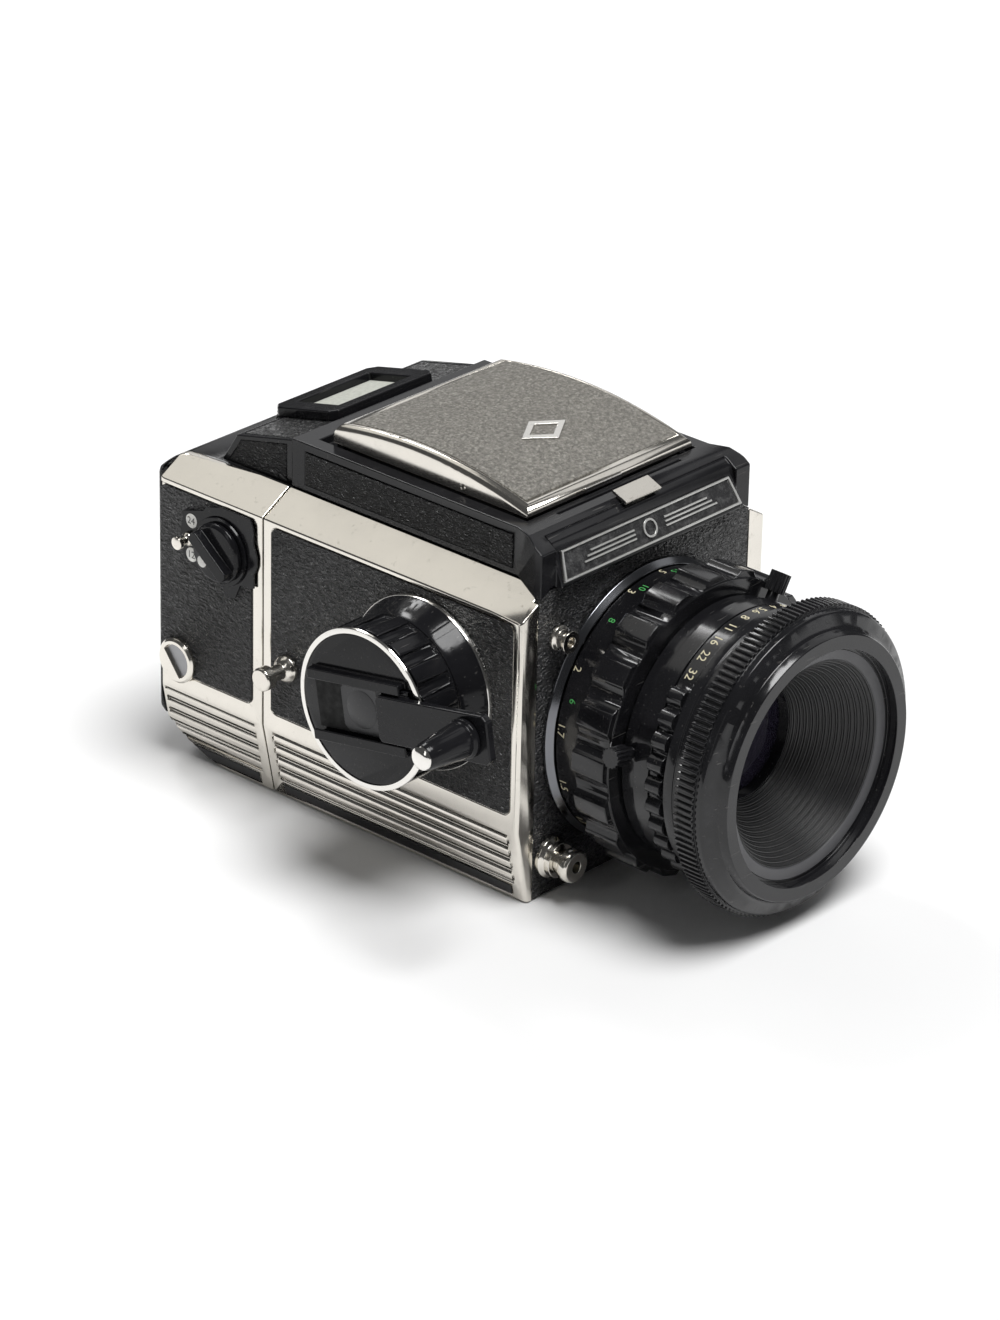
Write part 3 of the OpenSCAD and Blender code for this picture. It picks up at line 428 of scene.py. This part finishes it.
def arc(cx, cy, r, a0, a1, n):
    """Points of a circle's arc in n steps, from angle a0 to a1 in degrees."""
    return [(cx + r * math.cos(math.radians(a0 + (a1 - a0) * i / n)),
             cy + r * math.sin(math.radians(a0 + (a1 - a0) * i / n))) for i in range(n + 1)]


FONT_SIZE_PER_HEIGHT = 1.35    # the built-in font's size for figures one unit high


def numerals(name, items, mat, body, slot):
    """One mesh of several numbers: (text, height in mm, place) with place(x, y) in the frame."""
    bm = bmesh.new()
    for text, height, place in items:
        curve = bpy.data.curves.new("digits", "FONT")
        curve.body = text
        curve.size = height * FONT_SIZE_PER_HEIGHT
        curve.align_x, curve.align_y = "CENTER", "CENTER"
        curve.resolution_u = 3
        holder = bpy.data.objects.new("digits", curve)
        bpy.context.scene.collection.objects.link(holder)
        bpy.context.view_layer.update()
        flat = bpy.data.meshes.new_from_object(
            holder.evaluated_get(bpy.context.evaluated_depsgraph_get()))
        for v in flat.vertices:
            v.co = place(v.co.x, v.co.y)
        bm.from_mesh(flat)
        bpy.data.objects.remove(holder)
        bpy.data.meshes.remove(flat)
        bpy.data.curves.remove(curve)
    piece(name, bm, mat, body, slot)


def on_ring(radius, angle, y):
    """Places figures on a ring about the lens axis, tops forward, reading over the top."""
    def place(u, v):
        a = math.radians(angle) + u / radius
        return at(radius * math.cos(a), y - v, LENS_Z + radius * math.sin(a))
    return place


# Rounded copies of the outer pieces: name and width of the rounding in mm, or 0 for a piece
# whose edges are already round
ROUNDED = {
    "cover_left": 0.45, "cover_right": 0.45, "back_covers": 0.4, "hood_base": 0.4,
    "lid_frame": 0, "nameplate": 0.2, "knob_face": 0.35, "crank_arm": 0.45, "crank_knob": 0.4,
    "crank_grip": 0.2, "focus_ring": 0.35, "filter_ring": 0.15, "lens_lock_ring": 0.12,
    "aperture_ring": 0.3, "front_barrel": 0.12, "mount_ring": 0.2, "lens_barrel": 0.15,
    "shutter_button": 0.2, "release_collar": 0.2, "sync_socket": 0.15, "strap_studs": 0.2,
    "hood_catch": 0.2, "memo_frame": 0.5, "film_key": 0.3, "selector_lever": 0.15,
    "back_latch": 0.15, "back_shell": 0.4, "back_door": 0.5, "speed_dial": 0.3,
    "dark_slide": 0.1, "front_plate": 0.2, "leather_left": 0.25, "leather_right": 0.25,
    "back_leather": 0.25, "hood_leather": 0.25, "lid_leather": 0.2,
}
for name, width in ROUNDED.items():
    refine(name, width)

# ---------- details on the body ----------

lean_angle = math.atan(LEAN / RIB_H)


def rib_frame(side):
    """The leaning lower part of a cover: x out of the face, z up it."""
    tilt = Matrix.Rotation(lean_angle, 4, "Y")
    place = Matrix.Translation((HALF_W - LEAN, 0, 0)) @ tilt
    return Matrix.Scale(side, 4, (1, 0, 0)) @ place


def on_rib(side):
    """Places an outline in (y, z) on the leaning part, let into the cover."""
    return lambda y, z, h: at(*(rib_frame(side) @ Vector((h - INLAY_LET_IN, y, z))))


# The black line under the ribs. Each row says where it starts, and how far back its lower and
# upper edges go: the film back's rear curves in at its foot
INLAY_LOW, INLAY_HIGH, INLAY_LET_IN, INLAY_THICK = 1.45, 4.35, 0.42, 0.6
for side, label in SIDES:
    for body, y0, low, high, part in (("root", 5.15, 90.55, 90.55, "body"),
                                      ("film_back", 100.25, 120.8, 126.6, "back")):
        extruded(f"inlay_{part}_{label}", [(y0, INLAY_LOW), (low, INLAY_LOW), (high, INLAY_HIGH),
                                           (y0, INLAY_HIGH)],
                 INLAY_THICK, on_rib(side), "inlay", body, SLOT_OF["cover_left"], 0.25)

# Raised lines of the nameplate, in place of a name
PLATE_RISE, PLATE_RUN = 7.9, 3.6    # the nameplate's slope
PLATE_FACE = 0.44                   # its face, in front of that slope
plate_tilt = math.atan(PLATE_RUN / PLATE_RISE)
plate_place = Matrix.Translation((0, -2.0, 93.0)) @ Matrix.Rotation(-plate_tilt, 4, "X")


def on_plate(x, y, z):
    """x across the sloping nameplate, y up it, z out of its face."""
    return at(*(plate_place @ Vector((x, -PLATE_FACE - z, y))))


extruded("nameplate_field", [(-34.9, 1.0), (-33.4, 7.8), (33.4, 7.8), (34.9, 1.0)], 0.12,
         on_plate, "stipple", "root", SLOT_OF["nameplate"])
LINE_MIDDLE, LINE_STEP, LINE_HALF, LINE_RAISED = 4.4, 1.2, 0.28, 0.5
for side, label in SIDES:
    for k in range(3):
        y = LINE_MIDDLE + LINE_STEP * (k - 1)
        x0, x1 = side * 6.0, side * (27.0 - 1.6 * k)
        extruded(f"nameplate_line_{k}_{label}",
                 [(x0, y - LINE_HALF), (x1, y - LINE_HALF), (x1, y + LINE_HALF),
                  (x0, y + LINE_HALF)],
                 LINE_RAISED, on_plate, "plate_silver", "root", SLOT_OF["nameplate"], 0.12)
extruded("nameplate_ring", arc(0, LINE_MIDDLE, 2.7, 0, 352.5, 47), LINE_RAISED, on_plate,
         "plate_silver", "root", SLOT_OF["nameplate"], 0.12,
         [arc(0, LINE_MIDDLE, 2.0, 0, 352.5, 47)])

# ---------- details on the lid ----------

LID_R, CROWN_Y, CROWN_Z = 147, 55, 114.6    # radius of the lid's curve, and its highest place
LEATHER_RISE = 0.15                         # lid's leather above that curve


def on_lid(x, y, z):
    """(x, y) is the place on the lid seen from above, and z the height above its leather."""
    a = (y - CROWN_Y) / LID_R
    r = LID_R + LEATHER_RISE + z
    return at(x, CROWN_Y + r * math.sin(a), CROWN_Z - LID_R + r * math.cos(a))


extruded("lid_emblem", [(-9.0, 38), (0, 32.4), (9.0, 38), (0, 43.6)], 0.5, on_lid,
         "chrome_bright", "lid", SLOT_OF["lid_frame"], 0.15,
         [[(-5.6, 38), (0, 34.6), (5.6, 38), (0, 41.4)]])
bar("lid_tongue", (15, 0.8, 1.5), Matrix.Translation((-3.5, 13.35, 107.1)), "chrome_bright",
    "lid", SLOT_OF["lid_frame"], 0.2)
for side, label in SIDES:
    lathe(f"lid_pin_{label}", [(0, 33.2), (1.0, 33.2), (1.0, 33.62), (0.7, 33.75), (0.45, 33.55),
                               (0, 33.55)], at(0, 36.8, 107.9), (side, 0, 0), "chrome", "lid",
          SLOT_OF["lid_frame"], 40)

# ---------- details on the crank ----------

LEFT = (-1, 0, 0)
ARM_TILT = math.radians(10)    # how far the crank's arm is turned from level
ARM_LENGTH = 41                # from the knob's axis to the grip's
KNOB_FACE_X = 74.25            # the knob's face, from the middle of the camera

lathe("knob_ring", [(21.3, 74.05), (22.75, 73.5), (23.0, 73.9), (22.85, 74.35), (22.2, 74.6),
                    (21.4, 74.5)], at(0, KNOB_Y, KNOB_Z), LEFT, "chrome_bright", "knob",
      SLOT_OF["cover_left"])
lathe("skirt_ring", [(24.2, 50.35), (25.0, 50.35), (25.1, 51.0), (24.8, 51.7), (24.3, 51.8)],
      at(0, KNOB_Y, KNOB_Z), LEFT, "chrome_bright", "knob", SLOT_OF["cover_left"])
grip_y = KNOB_Y - ARM_LENGTH * math.cos(ARM_TILT)
grip_z = KNOB_Z + ARM_LENGTH * math.sin(ARM_TILT)
lathe("grip_tip", [(0, 93.6), (2.9, 93.6), (3.35, 94.0), (3.2, 95.0), (2.4, 95.65), (1.2, 95.86),
                   (0, 95.9)], at(0, grip_y, grip_z), LEFT, "chrome_bright", "grip",
      SLOT_OF["cover_left"], 64)
arm_frame = Matrix.Translation((0, KNOB_Y, KNOB_Z)) @ Matrix.Rotation(-ARM_TILT, 4, "X")


def on_face(y, z, h):
    """Places an outline in the arm's own (y, z), at height h above the knob's face."""
    return at(*(arm_frame @ Vector((-KNOB_FACE_X - h, y, z))))


# A near-black sheet on the knob's face between the rails: painted shade, where the recess lies in
# shadow
extruded("knob_painted_shade", [(5.0, -7.1), (16.6, -7.1), (16.6, 7.1), (5.0, 7.1)], 0.12, on_face,
         "void_black", "knob", SLOT_OF["knob_face"])
extruded("knob_bridge", [(-6.6, -7.1), (5.2, -7.1), (7.2, -5.2), (7.2, 5.2), (5.2, 7.1),
                         (-6.6, 7.1)], 0.2, on_face, "black_anodised", "knob",
         SLOT_OF["knob_face"], 0.08)
lathe("knob_hub", [(0, 74.4), (5.4, 74.4), (5.4, 74.5), (5.2, 74.57), (0, 74.57)],
      at(0, KNOB_Y, KNOB_Z), LEFT, "black_anodised", "knob", SLOT_OF["knob_face"], 96)

# ---------- details on the film back ----------


def on_left(x_out):
    """Places an outline in (y, z) of the side, facing -X, at x_out mm from the centre."""
    return lambda y, z, h: at(-x_out - h, y, z)


selector_outline = [
    (125.7, 78.4), (117.6, 80.9), (116.3, 82.4), (110.6, 84.0), (99.6, 83.9), (98.4, 81.5),
    (98.2, 76.5), (96.9, 73.2), (96.9, 70.2), (98.1, 67.6), (98.1, 63.4), (103.4, 62.6),
    (105.3, 58.2), (109.2, 57.4), (110.6, 61.4), (119.0, 62.2), (125.2, 64.4), (126.6, 71.4)]
extruded("selector_plate", selector_outline, 0.5, on_left(50.25), "black_enamel", "film_back",
         SLOT_OF["film_key"], 0.15)
for label, z in (("24", 76.3), ("12", 66.0)):
    lathe(f"count_dot_{label}", [(0, 50.7), (2.1, 50.7), (2.1, 50.85), (1.95, 50.92), (0, 50.92)],
          at(0, COUNT_Y, z), LEFT, "ink_white", "film_back", SLOT_OF["film_key"], 48)
    numerals(f"count_{label}", [(label, 2.2, lambda u, v, z=z: at(-50.95, COUNT_Y - u, z + v))],
             "ink_black", "film_back", SLOT_OF["film_key"])
lathe("key_collar", [(7.0, 50.85), (9.9, 50.85), (10.1, 51.2), (9.9, 51.7), (7.0, 51.75)],
      at(0, KEY_Y, KEY_Z), LEFT, "black_enamel", "film_back", SLOT_OF["film_key"], 96)
lathe("key_window", [(0, 53.7), (1.7, 53.7), (1.7, 53.85), (1.5, 53.95), (0, 53.95)],
      at(0, KEY_Y + 4.6, KEY_Z - 3.6), LEFT, "ink_white", "key", SLOT_OF["back_latch"], 32)
lathe("latch_floor", [(0, 50.9), (4.75, 50.9), (4.75, 51.1), (0, 51.12)],
      at(0, LATCH_Y, LATCH_Z), LEFT, "latch_floor", "latch", SLOT_OF["back_latch"], 64)

DECK_DROP, DECK_RUN = 5.2, 22.0    # slope of the film back's top deck, under the memo frame
deck_tilt = math.atan(DECK_DROP / DECK_RUN)
deck_place = Matrix.Translation((0, 95.7, 104.8)) @ Matrix.Rotation(-deck_tilt, 4, "X")
bar("memo_card", (28.4, 15.8, 0.3), deck_place @ Matrix.Translation((0, 12.9, 0.6)), "card",
    "film_back", SLOT_OF["memo_frame"], 0.05)

# ---------- numbers on the lens ----------

# Each number with its angle about the lens axis, from the right side over the top
APERTURE_R, FOCUS_R, INDEX_R = 37.74, 38.64, 38.8    # just above the rings they stand on
apertures = [("32", 131.3), ("22", 121.9), ("16", 113), ("11", 104), ("8", 95), ("5.6", 86),
             ("4", 77), ("2.8", 68)]
numerals("aperture_numbers", [(t, 2.7, on_ring(APERTURE_R, a, -37.4)) for t, a in apertures],
         "ink_cream", "iris_ring", SLOT_OF["aperture_ring"])
metres = [("1.2", 242), ("1.3", 221), ("1.5", 198), ("1.7", 172.4), ("2", 146.8), ("3", 107),
          ("5", 88), ("10", 64)]
numerals("metre_numbers", [(t, 2.5, on_ring(FOCUS_R, a, -4.4)) for t, a in metres],
         "ink_cream", "focus", SLOT_OF["focus_ring"])
feet = [("6", 159.6), ("8", 123.2), ("10", 102.5), ("15", 83), ("30", 68)]
numerals("feet_numbers", [(t, 2.2, on_ring(FOCUS_R, a, -6.3)) for t, a in feet], "ink_green",
         "focus", SLOT_OF["focus_ring"])
extruded("aperture_index", arc(0, 0, 0.6, 0, 337.5, 15), 0.06,
         lambda u, v, h: on_ring(INDEX_R + h, 76, -42.2)(u, v), "ink_red", "barrel",
         SLOT_OF["front_barrel"])

# ---------- numbers on the speed dial ----------

DIAL_FIGURE_R = 10.4    # middle of the figures, from the dial's axis
DIAL_FACE_X = 59.65     # just above the dial's face
speeds = ["1", "2", "4", "8", "15", "30", "60", "125", "250", "500"]


def on_dial(angle):
    """Figures around the speed dial's face, tops outwards, seen from the right."""
    def place(u, v):
        a = math.radians(angle)
        r = DIAL_FIGURE_R + v
        y = u * math.cos(a) + r * math.sin(a)
        z = r * math.cos(a) - u * math.sin(a)
        return at(DIAL_FACE_X, KNOB_Y + y, KNOB_Z + z)
    return place


numerals("speed_numbers", [(t, 2.0, on_dial(i * 360 / len(speeds))) for i, t in enumerate(speeds)],
         "ink_white", "speed", SLOT_OF["speed_dial"])

# ---------- stage, light and camera, in metres ----------


def area(name, place, aim, size, power, tone=(1, 1, 1)):
    """A rectangular softbox at place, facing aim, in metres and watts."""
    light = bpy.data.lights.new(name, "AREA")
    light.shape = "RECTANGLE"
    light.size, light.size_y = size
    light.energy = power
    light.color = tone
    obj = bpy.data.objects.new(name, light)
    bpy.context.scene.collection.objects.link(obj)
    obj.location = place
    obj.rotation_euler = (Vector(aim) - Vector(place)).to_track_quat("-Z", "Y").to_euler()


sun = bpy.data.lights.new("overhead_dome", "SUN")
sun.energy = 3.3
sun.angle = math.radians(32)
sun_holder = bpy.data.objects.new("overhead_dome", sun)
bpy.context.scene.collection.objects.link(sun_holder)
sun_holder.rotation_euler = Vector((0.02, -0.30, 1)).to_track_quat("Z", "Y").to_euler()
area("shoulder_card", (-0.06, 0.76, 1.02), (0, 0, 0.05), (0.9, 0.7), 1.5, (1, 0.985, 0.94))
area("left_softbox", (-1.25, -0.10, 0.72), (0, 0, 0.05), (0.25, 0.9), 1.0)
area("front_card", (1.0, -1.08, 0.29), (0, 0, 0.07), (0.6, 0.4), 0.7)
area("right_softbox", (1.05, -0.12, 1.05), (0, 0, 0.08), (0.8, 0.9), 1.5)
area("back_card", (1.07, 0.96, 0.75), (0, 0, 0.05), (0.9, 0.6), 1.3)
area("back_softbox", (0.30, 0.78, 1.0), (0, 0, 0.05), (0.22, 0.3), 2.6)

world = bpy.data.worlds.new("studio")
bpy.context.scene.world = world
world.use_nodes = True
backdrop = world.node_tree.nodes["Background"]
backdrop.inputs["Color"].default_value = (0.97, 0.98, 1.0, 1)
backdrop.inputs["Strength"].default_value = 0.07

FLOOR_HALF, FLOOR_Z = 6, -0.0002
floor_mesh = bpy.data.meshes.new("floor")
floor_mesh.from_pydata([(x * FLOOR_HALF, y * FLOOR_HALF, FLOOR_Z)
                        for x, y in ((-1, -1), (1, -1), (1, 1), (-1, 1))], [], [(0, 1, 2, 3)])
floor = bpy.data.objects.new("floor", floor_mesh)
bpy.context.scene.collection.objects.link(floor)
floor_mesh.materials.append(Graph("floor_white").set(color=(0.86, 0.86, 0.86), rough=0.55,
                                                     spec=0.3))

# The photograph's own camera: its place and its axes, and a long lens
camera_data = bpy.data.cameras.new("camera")
camera = bpy.data.objects.new("camera", camera_data)
bpy.context.scene.collection.objects.link(camera)
bpy.context.scene.camera = camera
camera_data.lens, camera_data.sensor_width = 156.2, 36
camera_data.clip_start, camera_data.clip_end = 0.05, 50
right = Vector((0.6732, -0.7392, 0.0193))
up = Vector((0.3107, 0.3065, 0.8997))
back = right.cross(up).normalized()
up = back.cross(right)
axes = Matrix((right, up, back)).transposed().to_4x4()
camera.matrix_world = Matrix.Translation(at(-1067.88, -902.29, 733.79)) @ axes

view = bpy.context.scene.view_settings
view.view_transform = "Standard"
view.look = "None"
